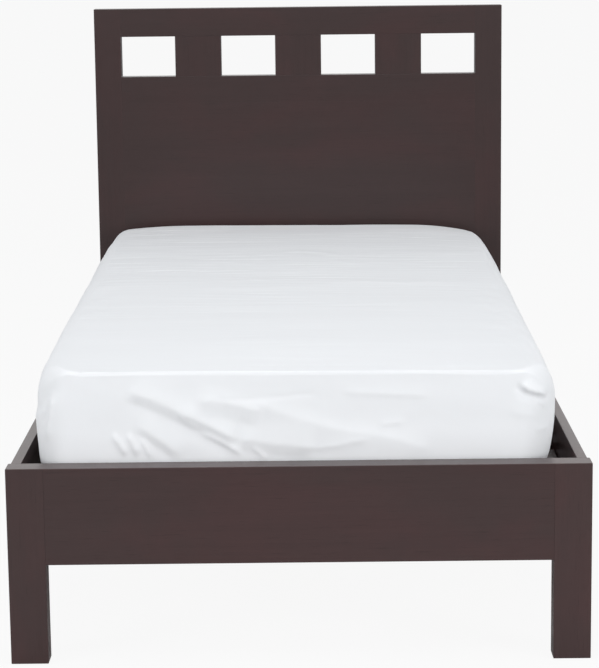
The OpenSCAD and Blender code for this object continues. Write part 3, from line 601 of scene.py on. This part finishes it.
class SoftForm:
    """The space of the mattress in its sheet, drawn in by an inset from the sheet's outside.

    It is worked out on a block with round edges, whose top edge is stretched upwards as it is put in place.
    """

    def __init__(self, inset):
        self.bedding = bedding = bpy.context.scene.bed_bedding
        low, high = (np.array(corner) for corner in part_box("fitted_sheet"))
        widest = (high[X] - low[X]) / 2
        self.middle = (low + high) / 2
        self.base = low[Z] + inset
        self.taper = bedding.taper / 4
        self.half = np.array([widest - self.taper, (high[Y] - low[Y]) / 2]) - inset
        self.top = bedding.edge_width - inset
        self.drop, self.foot_drop = bedding.edge_height - inset, max(bedding.foot_edge - inset, 1 * MM)
        self.tight = max(bedding.foot_edge_width - inset, 1 * MM)
        self.tall = (bedding.foot_height + bedding.head_height) / 2 - 2 * inset
        self.height = self.tall - self.drop + self.top
        self.rise = (bedding.head_height - bedding.foot_height) / (bedding.foot_height + bedding.head_height)
        self.corner = bedding.corner_radius - inset
        self.bottom = max(bedding.bottom_radius - inset, 0.004)

    def box(self):
        """A rounded block of this size, standing on z 0."""
        bm = block((-self.half[X], -self.half[Y], 0), (self.half[X], self.half[Y], self.height))
        upright = [e for e in bm.edges if (e.verts[0].co - e.verts[1].co).xy.length < 1e-6]
        options = {"offset_type": "OFFSET", "affect": "EDGES", "profile": 0.5, "material": -1}
        bmesh.ops.bevel(bm, geom=upright, offset=self.corner, segments=10, **options)
        for height, radius, segments in ((self.height, self.top, 8), (0.0, self.bottom, 4)):
            loop = [e for e in bm.edges if all(abs(v.co.z - height) < 1e-6 for v in e.verts)]
            bmesh.ops.bevel(bm, geom=loop, offset=radius, segments=segments, **options)
        return bm

    def outline(self, p):
        """How far points lie outside the plan outline, and the way out."""
        q = np.abs(p[:, :2]) - (self.half - self.corner)
        out = np.maximum(q, 0)
        reach = np.linalg.norm(out, axis=1)
        way = np.where(reach[:, None] > 1e-9, out / np.maximum(reach, 1e-9)[:, None],
                       np.stack([q[:, 0] >= q[:, 1], q[:, 0] < q[:, 1]], 1).astype(float))
        return reach + np.minimum(q.max(1), 0) - self.corner, way * np.sign(p[:, :2])

    def snapped(self, p):
        """Points moved onto the rounded block."""
        off, way = self.outline(p)
        z = p[:, 2]
        new_off, new_z = off.copy(), z.copy()
        to_side, to_top, to_floor = np.abs(off), np.abs(z - self.height), np.abs(z)
        side = (to_side <= to_top) & (to_side <= to_floor)
        new_off[side] = 0
        top = ~side & (to_top <= to_floor)
        new_z[top] = self.height
        new_z[~side & ~top] = 0
        for middle, radius, mask in (
                (self.height - self.top, self.top, (z > self.height - self.top) & (off > -self.top)),
                (self.bottom, self.bottom, (z < self.bottom) & (off > -self.bottom))):
            arm = np.stack([off[mask] + radius, z[mask] - middle], 1)
            arm *= (radius / np.maximum(np.linalg.norm(arm, axis=1), 1e-9))[:, None]
            new_off[mask], new_z[mask] = arm[:, 0] - radius, arm[:, 1] + middle
        return np.concatenate([p[:, :2] + (new_off - off)[:, None] * way, new_z[:, None]], 1)

    def foot_line(self, x):
        """Where the plan outline runs at the foot."""
        bend = self.half - self.corner
        return -bend[Y] - np.sqrt((self.corner ** 2 - (np.abs(x) - bend[X]).clip(0) ** 2).clip(0))

    def placed(self, p):
        """Points of the rounded block moved to their place in the bed."""
        x, y, z = p.T
        facing_foot = (-self.outline(p)[1][:, 1]).clip(0) ** 3
        drop = self.drop + (self.foot_drop - self.drop) * facing_foot
        level = np.clip((z - self.bottom) / (self.height - self.top - self.bottom), 0, 1)
        share = np.clip((z - self.height + self.top) / self.top, 0, 1)
        z = np.minimum(z, self.bottom) + level * (self.tall - drop - self.bottom) + share * drop
        past_corner, corner_fade = 0.015, 0.11
        inner = eased_step((self.half[X] - np.abs(x) + past_corner) / corner_fade)
        depth = (y - self.foot_line(x)).clip(0)
        eases = 4 * self.top
        tight = np.where(depth < eases, np.interp(depth, [0, self.top, eases], [0, self.tight, eases]), depth)
        depth_now = depth - (depth - tight) * inner * (share > 0)
        fall = self.bedding.foot_fall * (1 - depth_now / self.bedding.foot_fall_reach).clip(0) ** 2
        z = z - level * inner * fall + self.top_shape(x, y, level, share)
        inward = self.bedding.draw_in * (1 - facing_foot) * (1 - level) ** 2
        near = np.clip(1 - (y + self.half[Y]) / self.bedding.slack_reach, 0, 1)
        slack = self.bedding.corner_slack * (near * (1 - level)) ** 2 * (x > 0)
        shoulder_from, shoulder_fade = 0.78, 0.18
        shoulder = self.bedding.left_shoulder * (x < 0) * eased_step((level - shoulder_from) / shoulder_fade)
        slack += shoulder * eased_step(2 * near - 1)
        y = y - depth + depth_now
        x, y = x * (1 - (inward + slack) / self.half[X]), y * (1 - inward / self.half[Y])
        v = y / self.half[Y]
        x = x + self.taper * v * np.sign(x) * np.minimum(1, np.abs(x) / (self.half[X] / 2))
        z = z * (1 + v * self.rise)
        return np.stack([x + self.middle[X], y + self.middle[Y], z + self.base], 1)

    def top_shape(self, x, y, level, share):
        """How much higher the top lies for its crown, its lean and its falling corners at the head."""
        u, v = x / self.half[X], y / self.half[Y]
        crown = share ** 2 * self.bedding.crown * (1 - u ** 4).clip(0)
        corner = (v * 2 - 1).clip(0, 1) ** 2 * (np.abs(u) / 0.4 - 1.5).clip(0, 1) ** 2
        fall = np.where(x < 0, self.bedding.left_fall, self.bedding.right_fall)
        return crown - level * (corner * fall + self.bedding.lean * u)


def eased_step(t):
    """0 below 0 and 1 above 1, easing in between."""
    t = np.clip(t, 0, 1)
    return t * t * (3 - 2 * t)


def remeshed(bm, voxel):
    """A closed form as an even net of small faces."""
    rough = in_scene("rough", to_mesh(bm))
    net = rough.modifiers.new("net", "REMESH")
    net.mode = "VOXEL"
    net.voxel_size = voxel
    mesh = bpy.data.meshes.new_from_object(rough.evaluated_get(bpy.context.evaluated_depsgraph_get()))
    old = rough.data
    bpy.data.objects.remove(rough)
    bpy.data.meshes.remove(old)
    return mesh


def points_of(mesh, what="co"):
    """The places of a mesh's points, or with "normal" their normals."""
    p = np.empty(len(mesh.vertices) * 3, np.float32)
    mesh.vertices.foreach_get(what, p)
    return p.reshape(-1, 3).astype(float)


def set_points(mesh, p):
    mesh.vertices.foreach_set("co", np.asarray(p, np.float32).ravel())
    mesh.update()


def shade_round(mesh):
    for polygon in mesh.polygons:
        polygon.use_smooth = True


def puffed(mesh, pressure, cap, held):
    """Lets the cloth of a closed form swell under pressure for 20 frames, no point by more than the cap."""
    start = points_of(mesh)
    piece = in_scene("swelling", mesh)
    group = piece.vertex_groups.new(name="held")
    group.add([int(i) for i in np.flatnonzero(held)], 1.0, "REPLACE")
    cloth = piece.modifiers.new("cloth", "CLOTH")
    cloth.settings.use_pressure = True
    cloth.settings.uniform_pressure_force = pressure
    cloth.settings.effector_weights.gravity = 0
    cloth.settings.vertex_group_mass = "held"
    cloth.settings.tension_stiffness = 30
    cloth.settings.compression_stiffness = 30
    cloth.settings.bending_stiffness = 2
    cloth.point_cache.frame_start, cloth.point_cache.frame_end = 1, 20
    scene = bpy.context.scene
    for number in range(1, 21):
        scene.frame_set(number)
    shown = piece.evaluated_get(bpy.context.evaluated_depsgraph_get())
    end = points_of(shown.data)
    piece.modifiers.remove(cloth)
    scene.frame_set(1)
    bpy.data.objects.remove(piece)
    move = end - start
    length = np.linalg.norm(move, axis=1)
    set_points(mesh, start + move * (cap * np.tanh(length / cap) / np.maximum(length, 1e-9))[:, None])


def rumple(p, scale, seed, depth):
    """Smooth noise between about -1 and 1 at each point, with its own scale along each axis."""
    return np.array([noise.fractal(Vector((a * scale[0] + seed, b * scale[1], c * scale[2])), 0.9, 2.1, depth)
                     for a, b, c in p])


def fold_height(x, z, line, tall, above, below, dip):
    """A fold's height: tall on its line, fading over one width above it, another below it, and at its ends.

    The line, the height and the widths are in millimetres. Above is the side on the left of someone who walks
    along the line. With a dip, the side below is a straight facet that goes down past 0 to that share of the
    height, and then comes back up.
    """
    line = np.array(line, float) * MM
    best, along, over = np.full(len(x), 1e9), np.zeros(len(x)), np.ones(len(x))
    lengths = np.linalg.norm(np.diff(line, axis=0), axis=1)
    total, passed = lengths.sum(), 0.0
    for a, b, length in zip(line, line[1:], lengths):
        way = (b - a) / length
        t = np.clip((x - a[0]) * way[0] + (z - a[1]) * way[1], 0, length)
        gap = np.hypot(x - a[0] - t * way[0], z - a[1] - t * way[1])
        near = gap < best
        best = np.where(near, gap, best)
        along = np.where(near, passed + t, along)
        over = np.where(near, way[0] * (z - a[1]) - way[1] * (x - a[0]), over)
        passed += length
    off = best / np.where(over > 0, above, below) / MM
    height = np.exp(-off ** 1.4)
    if dip:
        facet = np.where(off < 1, 1 - (1 + dip) * off, -dip * np.exp(-(off - 1) ** 2))
        height = np.where(over > 0, height, facet)
    ends = min(30 * MM, total / 3)
    return tall * MM * height * eased_step(np.minimum(along, total - along) / ends)


# Folds of the sheet's front: a line of (across, up) points, its height, and its widths above and below, all
# in millimetres, and its dip as a share of its height
FRONT_FOLDS = [
    # The seam along the top edge
    ([(-434, 528), (-306, 530), (-206, 531), (-87, 533), (59, 532), (187, 529), (278, 526),
      (406, 521)], 0.4, 3, 3, 0),
    # The long fold that comes down from the left, and the low fold that carries it on
    ([(-318, 502), (-271, 486), (-234, 469), (-190, 448)], 5.8, 26, 19, 0.4),
    ([(-222, 463), (-198, 452), (-162, 435), (-126, 415), (-104, 408)], 7.7, 27, 20, 0.4),
    ([(-122, 412), (-107, 409), (-71, 404), (-34, 399), (3, 395), (35, 393)], 3.5, 30, 20, 0.3),
    # Two ridges beside it
    ([(-224, 461), (-209, 448), (-195, 437), (-180, 430)], 2.4, 4, 4, 0),
    ([(-190, 425), (-162, 414), (-135, 400), (-117, 391), (-97, 377)], 4.6, 5, 5, 0),
    # The fold below it on the left
    ([(-303, 438), (-281, 428), (-263, 415), (-245, 403), (-227, 388), (-213, 373)], 3.9, 22, 14, 0.4),
    # Pleats over the footboard
    ([(-344, 425), (-331, 406), (-314, 378)], 4.6, 6, 5, 0),
    ([(-316, 425), (-306, 406), (-293, 376)], 4.6, 6, 5, 0),
    ([(-291, 415), (-280, 396), (-270, 373)], 3.5, 5, 4, 0),
    ([(-89, 396), (-73, 385), (-56, 371)], 2.6, 5, 5, 0),
    # The fold and the broad ridge that come down to the right
    ([(-194, 481), (-161, 481), (-134, 479), (-97, 468), (-59, 458)], 4.9, 16, 30, 0.3),
    ([(-88, 481), (-42, 462), (-15, 451), (40, 434), (95, 421), (150, 413), (186, 405),
      (245, 384)], 3.9, 17, 34, 0),
    # Creases
    ([(-5, 393), (39, 392), (76, 397), (98, 402), (138, 409)], 1.8, 9, 5, 0),
    ([(-170, 480), (-106, 483), (-33, 487), (4, 491), (44, 493)], -1.2, 5, 4, 0),
    ([(73, 495), (132, 491), (186, 488), (249, 485)], 1.6, 11, 4, 0),
    ([(142, 430), (168, 435), (201, 438)], 1.8, 9, 4, 0),
    # Puckers at the right corner, and a crease between them
    ([(409, 515), (413, 503), (421, 496), (432, 492), (445, 487), (460, 478)], 8.5, 12, 9, 0.5),
    ([(437, 473), (448, 467), (457, 459)], 2.0, 6, 4, 0),
    ([(380, 455), (415, 451), (455, 439)], 1.7, 13, 8, 0),
    ([(430, 419), (452, 420), (463, 428)], 1.5, 6, 6, 0),
    # The left corner
    ([(-449, 503), (-453, 468), (-458, 440), (-464, 400)], 4.4, 7, 6, 0),
    ([(-461, 509), (-465, 468), (-470, 430)], -1.5, 5, 5, 0),
]

# Wrinkles of the sheet's top in the same form, as (across, along) points
TOP_FOLDS = [
    # Drag lines beside the right edge
    ([(397, -105), (428, -177), (453, -286)], 2.4, 14, 11, 0),
    ([(382, -215), (419, -297), (448, -414)], 3.1, 15, 11, 0),
    ([(385, -321), (416, -399), (447, -512)], 3.1, 14, 11, 0),
    ([(389, -435), (419, -510), (448, -617)], 2.5, 14, 11, 0),
    ([(391, -556), (421, -627), (448, -740)], 2.0, 14, 11, 0),
    ([(393, -682), (422, -749), (448, -856)], 1.5, 14, 11, 0),
    # Drag lines beside the left edge
    ([(-414, -61), (-435, -116), (-449, -184)], 2.2, 11, 14, 0),
    ([(-409, -227), (-430, -278), (-444, -354)], 2.5, 11, 14, 0),
    ([(-404, -382), (-428, -430), (-444, -502)], 2.0, 11, 14, 0),
    # Arcs from the middle to the head
    ([(-90, 362), (-35, 417), (8, 434), (54, 410), (97, 339)], 1.6, 19, 15, 0),
    ([(-164, -51), (-110, 3), (-60, -29)], 1.0, 17, 13, 0),
    ([(69, -67), (135, -43), (245, -66), (314, -27)], 1.0, 17, 13, 0),
    ([(-255, 212), (-175, 254), (-87, 215)], 1.0, 17, 13, 0),
    ([(72, 283), (118, 231), (217, 256)], 1.0, 17, 13, 0),
]


# Operators

class BED_OT_boards(bpy.types.Operator):
    """Rounds the stained boards of the headboard, footboard and side rails"""
    bl_idname = "bed.boards"
    bl_label = "Stained Boards"

    def execute(self, context):
        wood = context.scene.bed_wood
        every = POSTS + CROSS_BOARDS + SIDE_BOARDS
        for along, names in ((Z, POSTS), (X, CROSS_BOARDS), (Y, SIDE_BOARDS)):
            for node in names:
                board(node, every.index(node) + 1, every, wood.arris, espresso(along))
        return {"FINISHED"}


class BED_OT_deck(bpy.types.Operator):
    """Rounds the slats, cleats, centre beam and legs, and finishes the dowels and the webbing"""
    bl_idname = "bed.deck"
    bl_label = "Slats and Beam"

    def execute(self, context):
        wood = context.scene.bed_wood
        for number, node in enumerate(SLATS):
            board(node, number + 21, [], wood.slat_arris, espresso(X))
        for number, node in enumerate(("cleat_left", "cleat_right")):
            board(node, number + 40, SIDE_BOARDS, wood.arris, espresso(Y))
        board("centre_beam", 42, [], wood.arris, bare_wood(Y))
        for number, node in enumerate(("centre_leg_foot", "centre_leg_head")):
            board(node, number + 30, [], wood.arris, bare_wood(Z))
        for node, along in (("headboard_dowels", X), ("footboard_dowels", X), ("rail_dowels", Y)):
            painted(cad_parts[node].data, bare_wood(along))
        eased("slat_webbing", 0.3 * MM, woven_webbing())
        return {"FINISHED"}


class BED_OT_fittings(bpy.types.Operator):
    """Finishes the steel brackets, hangers, bolts, screws, inserts and floor glides"""
    bl_idname = "bed.fittings"
    bl_label = "Steel Fittings"

    def execute(self, context):
        edge = context.scene.bed_fittings.steel_edge
        for end in ("foot", "head"):
            for side in ("left", "right"):
                eased(f"corner_bracket_{end}_{side}", edge, black_coat())
            eased(f"beam_hanger_{end}", edge, black_coat())
        eased("bracket_bolts", edge, black_coat())
        eased("bracket_washers", 0.3 * MM, zinc())
        eased("floor_glides", 0.4 * MM, plastic())
        for node, look in (("cleat_screws", zinc()), ("steel_screws", zinc()), ("slat_screws", black_coat()),
                           ("hanger_bolts", zinc()), ("threaded_inserts", brass())):
            painted(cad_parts[node].data, look)
        return {"FINISHED"}


class BED_OT_levelling_feet(bpy.types.Operator):
    """Cuts the levelling stems' threads and rounds their pads"""
    bl_idname = "bed.levelling_feet"
    bl_label = "Levelling Feet"

    def execute(self, context):
        fittings = context.scene.bed_fittings
        for end in ("foot", "head"):
            low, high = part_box(f"levelling_stem_{end}")
            pad_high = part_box(f"levelling_pad_{end}")[1]
            middle = ((low.x + high.x) / 2, (low.y + high.y) / 2)
            bm = threaded_stem(low.z, high.z, pad_high.z, high.x - low.x, fittings)
            bmesh.ops.translate(bm, vec=(*middle, 0), verts=bm.verts)
            mesh = to_mesh(bm, smooth=False)
            finished(f"levelling_stem_{end}_threaded", mesh, zinc(), f"{end}_levelling_stem",
                     [f"levelling_stem_{end}"])
            eased(f"levelling_pad_{end}", 1.0 * MM, plastic(), f"{end}_levelling_pad", 3)
        return {"FINISHED"}


class BED_OT_mattress(bpy.types.Operator):
    """Makes the mattress: a padded block that swells between its edges"""
    bl_idname = "bed.mattress"
    bl_label = "Mattress"

    def execute(self, context):
        form = SoftForm(7 * MM)
        mesh = remeshed(form.box(), 16 * MM)
        p = form.placed(form.snapped(points_of(mesh)))
        set_points(mesh, p)
        flat_side = p[:, 2] < p[:, 2].min() + 3 * MM
        puffed(mesh, 4.0, 3 * MM, flat_side)
        shade_round(mesh)
        pad = finished("mattress_pad", mesh, ticking(), "mattress", ["mattress"])
        return {"FINISHED"}


class BED_OT_fitted_sheet(bpy.types.Operator):
    """Makes the fitted sheet: drawn over the mattress, sewn at the corners and gathered underneath"""
    bl_idname = "bed.fitted_sheet"
    bl_label = "Fitted Sheet"

    def execute(self, context):
        bedding = context.scene.bed_bedding
        form = SoftForm(0.0)
        mesh = remeshed(form.box(), 12 * MM)
        bm = bmesh.new()
        bm.from_mesh(mesh)
        self.open_underside(bm, form, bedding.hem)
        self.refine(bm, form)
        mesh.clear_geometry()
        bm.to_mesh(mesh)
        bm.free()
        block_points = form.snapped(points_of(mesh))
        p = form.placed(block_points)
        set_points(mesh, p)
        n = points_of(mesh, "normal")
        height = self.front(p, n, form) * bedding.fold
        height += self.top(block_points, form) * bedding.wrinkle
        height += self.drags(p, n) * bedding.fold
        height += self.sides(block_points, form)
        set_points(mesh, p + n * height[:, None])
        shade_round(mesh)
        piece = finished("fitted_sheet_cotton", mesh, cotton(), "mattress", ["fitted_sheet"])
        return {"FINISHED"}

    def open_underside(self, bm, form, hem):
        """Takes out the middle of the underside, which a fitted sheet leaves open."""
        faces = [(face, face.calc_center_median()) for face in bm.faces if face.normal.z < -0.9]
        gone = [face for face, middle in faces
                if middle.z < 3 * MM and all(abs(middle[k]) < form.half[k] - hem for k in (X, Y))]
        bmesh.ops.delete(bm, geom=gone, context="FACES")

    def refine(self, bm, form):
        """Divides the front finely, and the top across its wrinkles."""
        front, low, skin = -form.half[Y] + 0.085, 0.045, 4 * MM
        edges = [e for e in bm.edges if all(v.co.y < front and v.co.z > low for v in e.verts)]
        bmesh.ops.subdivide_edges(bm, edges=edges, cuts=3, use_grid_fill=True)

        def lies_along(edge):
            """Whether an edge of the top runs along the bed."""
            a, b = (v.co for v in edge.verts)
            return (min(a.z, b.z) > form.height - skin and min(a.y, b.y) > front - 1 * MM
                    and abs(a.y - b.y) > 5 * MM and abs(a.x - b.x) < 4 * MM)

        top = [e for e in bm.edges if lies_along(e)]
        bmesh.ops.subdivide_edges(bm, edges=top, cuts=2, use_grid_fill=True)

    def front(self, p, n, form):
        """Height of the folds and seams on the front."""
        height = np.zeros(len(p))
        facing, facing_fade, deep = 0.2, 0.5, 0.06
        near = (n[:, Y] < -facing) & (p[:, Y] < -form.half[Y] + deep + form.middle[Y])
        x, z = p[near, X], p[near, Z]
        share = np.clip((-n[near, Y] - facing) / facing_fade, 0, 1)
        belly_top, belly_tall, hidden, hidden_fade = 0.445, 0.075, 0.33, 0.045
        belly = bpy.context.scene.bed_bedding.belly * np.clip((belly_top - z) / belly_tall, 0, 1) ** 1.5
        folds = 0.4 * MM + belly * eased_step((z - hidden) / hidden_fade)
        folds += sum(fold_height(x, z, *fold) for fold in FRONT_FOLDS)
        folds += rumple(p[near], (7, 7, 12), 3.0, 3) * MM
        height[near] += folds * share
        return height

    def top(self, q, form):
        """Shallow wrinkles that run across the bed, in wrinkle heights."""
        on_top = q[:, Z] > form.height - form.top
        height = np.zeros(len(q))
        t = q[on_top]
        streaks = rumple(t, (3.4, 26, 0.01), 11.0, 3)
        ridged = 1 - 2 * np.abs(streaks)
        broad = rumple(t, (1.6, 6.0, 0.01), 4.0, 2)
        mask = 0.55 + 0.45 * rumple(t, (2.0, 2.6, 0.01), 7.0, 2)
        rear = 0.75 + 0.35 * t[:, Y] / form.half[Y]
        fade = np.clip((t[:, Z] - form.height + form.top) / form.top, 0, 1) ** 2
        height[on_top] = (ridged * 0.7 * mask * rear + broad * 1.2) * fade
        return height

    def drags(self, p, n):
        """Height of the drag lines and arcs on the top."""
        height = np.zeros(len(p))
        facing, facing_fade = 0.4, 0.4
        near = n[:, Z] > facing
        share = eased_step((n[near, Z] - facing) / facing_fade)
        height[near] = share * sum(fold_height(p[near, X], p[near, Y], *fold) for fold in TOP_FOLDS)
        return height

    def sides(self, q, form):
        """Slow waves in the long sides, and gathers along the hem."""
        off, way = form.outline(q)
        lowest, tall, gather_turns, gather_from, gather_fade = 0.03, 1.4 * MM, 420, 0.05, 0.06
        side = np.abs(way[:, X]) * (off > -form.top) * (q[:, Z] > lowest)
        height = side * tall * rumple(q, (2.0, 5.0, 7.0), 21.0, 2)
        under = (q[:, Z] < 2 * MM) & (off < -form.bottom)
        gather = np.sin(q[:, X] * gather_turns) * np.sin(q[:, Y] * gather_turns)
        gather *= np.clip((-off - gather_from) / gather_fade, 0, 1)
        height[under] -= 0.6 * MM * (1 + gather[under])
        return height


class BED_OT_stage(bpy.types.Operator):
    """Sets up the studio: pale floor, soft lamps, white surroundings and the camera"""
    bl_idname = "bed.stage"
    bl_label = "Studio"

    def execute(self, context):
        scene, stage = context.scene, context.scene.bed_stage
        self.floor()
        self.surroundings(scene, stage)
        for name, power, size, at, aim in (
                ("key_lamp", stage.key, (2.0, 2.0), (4.4, -4.3, 1.6), (0.0, -0.8, 0.4)),
                ("fill_lamp", stage.fill, (2.0, 2.0), (-4.4, -4.3, 1.6), (0.0, -0.8, 0.4)),
                ("top_lamp", stage.top, (2.4, 2.0), (0.0, -1.6, 3.4), (0.0, -0.7, 0.5)),
                ("rear_lamp", stage.rear, (2.4, 2.0), (0.0, 0.3, 3.2), (0.0, 0.3, 0.5))):
            data = bpy.data.lights.new(name, "AREA")
            data.shape = "RECTANGLE"
            data.size, data.size_y = size
            data.energy = power
            lamp = in_scene(name, data)
            lamp.location = at
            lamp.rotation_mode = "QUATERNION"
            lamp.rotation_quaternion = (Vector(aim) - Vector(at)).to_track_quat("-Z", "Y")
        self.camera(scene)
        scene.view_settings.view_transform = "Standard"
        return {"FINISHED"}

    def floor(self):
        bm = bmesh.new()
        bmesh.ops.create_grid(bm, x_segments=1, y_segments=1, size=60)
        mesh = to_mesh(bm)
        painted(mesh, studio_floor())
        floor = in_scene("studio_floor", mesh)

    def surroundings(self, scene, stage):
        scene.world = bpy.data.worlds.new("studio")
        scene.world.use_nodes = True
        paint = Paint(scene.world.node_tree)
        path = paint.node("ShaderNodeLightPath").socket.node.outputs
        seen = Wire(paint, path["Is Camera Ray"])
        for name in ("Is Glossy Ray", "Is Transmission Ray"):
            seen = seen.larger(Wire(paint, path[name]))
        cool = (0.94, 0.97, 1.0, 1)
        dim = paint.node("ShaderNodeBackground", None, {"Color": cool, "Strength": stage.ambient})
        white = paint.node("ShaderNodeBackground", None, {"Color": WHITE, "Strength": 1.0})
        both = paint.node("ShaderNodeMixShader", None, {0: seen, 1: dim, 2: white})
        paint.node("ShaderNodeOutputWorld", None, {"Surface": both})

    def camera(self, scene):
        """The photograph's viewpoint. The sensor's long side lies along the picture's height."""
        data = bpy.data.cameras.new("camera")
        data.sensor_fit = "AUTO"
        data.sensor_width = 24
        data.lens = 82.652
        data.clip_end = 200
        yaw, down, roll = -0.00468, 0.1765, -0.01179
        camera = in_scene("camera", data)
        camera.matrix_world = (Matrix.Translation((0.02341, -5.08966, 1.33859))
                               @ Matrix.Rotation(-yaw, 4, "Z") @ Matrix.Rotation(math.pi / 2 - down, 4, "X")
                               @ Matrix.Rotation(roll, 4, "Z"))
        scene.camera = camera


OPERATORS = (BED_OT_boards, BED_OT_deck, BED_OT_fittings, BED_OT_levelling_feet, BED_OT_mattress,
             BED_OT_fitted_sheet, BED_OT_stage)


class BED_PT_panel(bpy.types.Panel):
    """Lists the bed's groups of pieces"""
    bl_idname = "BED_PT_panel"
    bl_label = "Platform Bed"
    bl_space_type = "VIEW_3D"
    bl_region_type = "UI"
    bl_category = "Bed"

    def draw(self, context):
        for operator in OPERATORS:
            self.layout.operator(operator.bl_idname)
        for name, group in SETTINGS.items():
            box = self.layout.box()
            for prop in group.__annotations__:
                box.prop(getattr(context.scene, name), prop)


CLASSES = (*SETTINGS.values(), *OPERATORS, BED_PT_panel)


def register():
    for made in CLASSES:
        bpy.utils.register_class(made)
    for name, group in SETTINGS.items():
        setattr(bpy.types.Scene, name, PointerProperty(type=group))


def unregister():
    for name in SETTINGS:
        delattr(bpy.types.Scene, name)
    for made in reversed(CLASSES):
        bpy.utils.unregister_class(made)


def main():
    register()
    bpy.ops.bed.boards()
    bpy.ops.bed.deck()
    bpy.ops.bed.fittings()
    bpy.ops.bed.levelling_feet()
    bpy.ops.bed.mattress()
    bpy.ops.bed.fitted_sheet()
    bpy.ops.bed.stage()


if __name__ == "__main__":
    main()
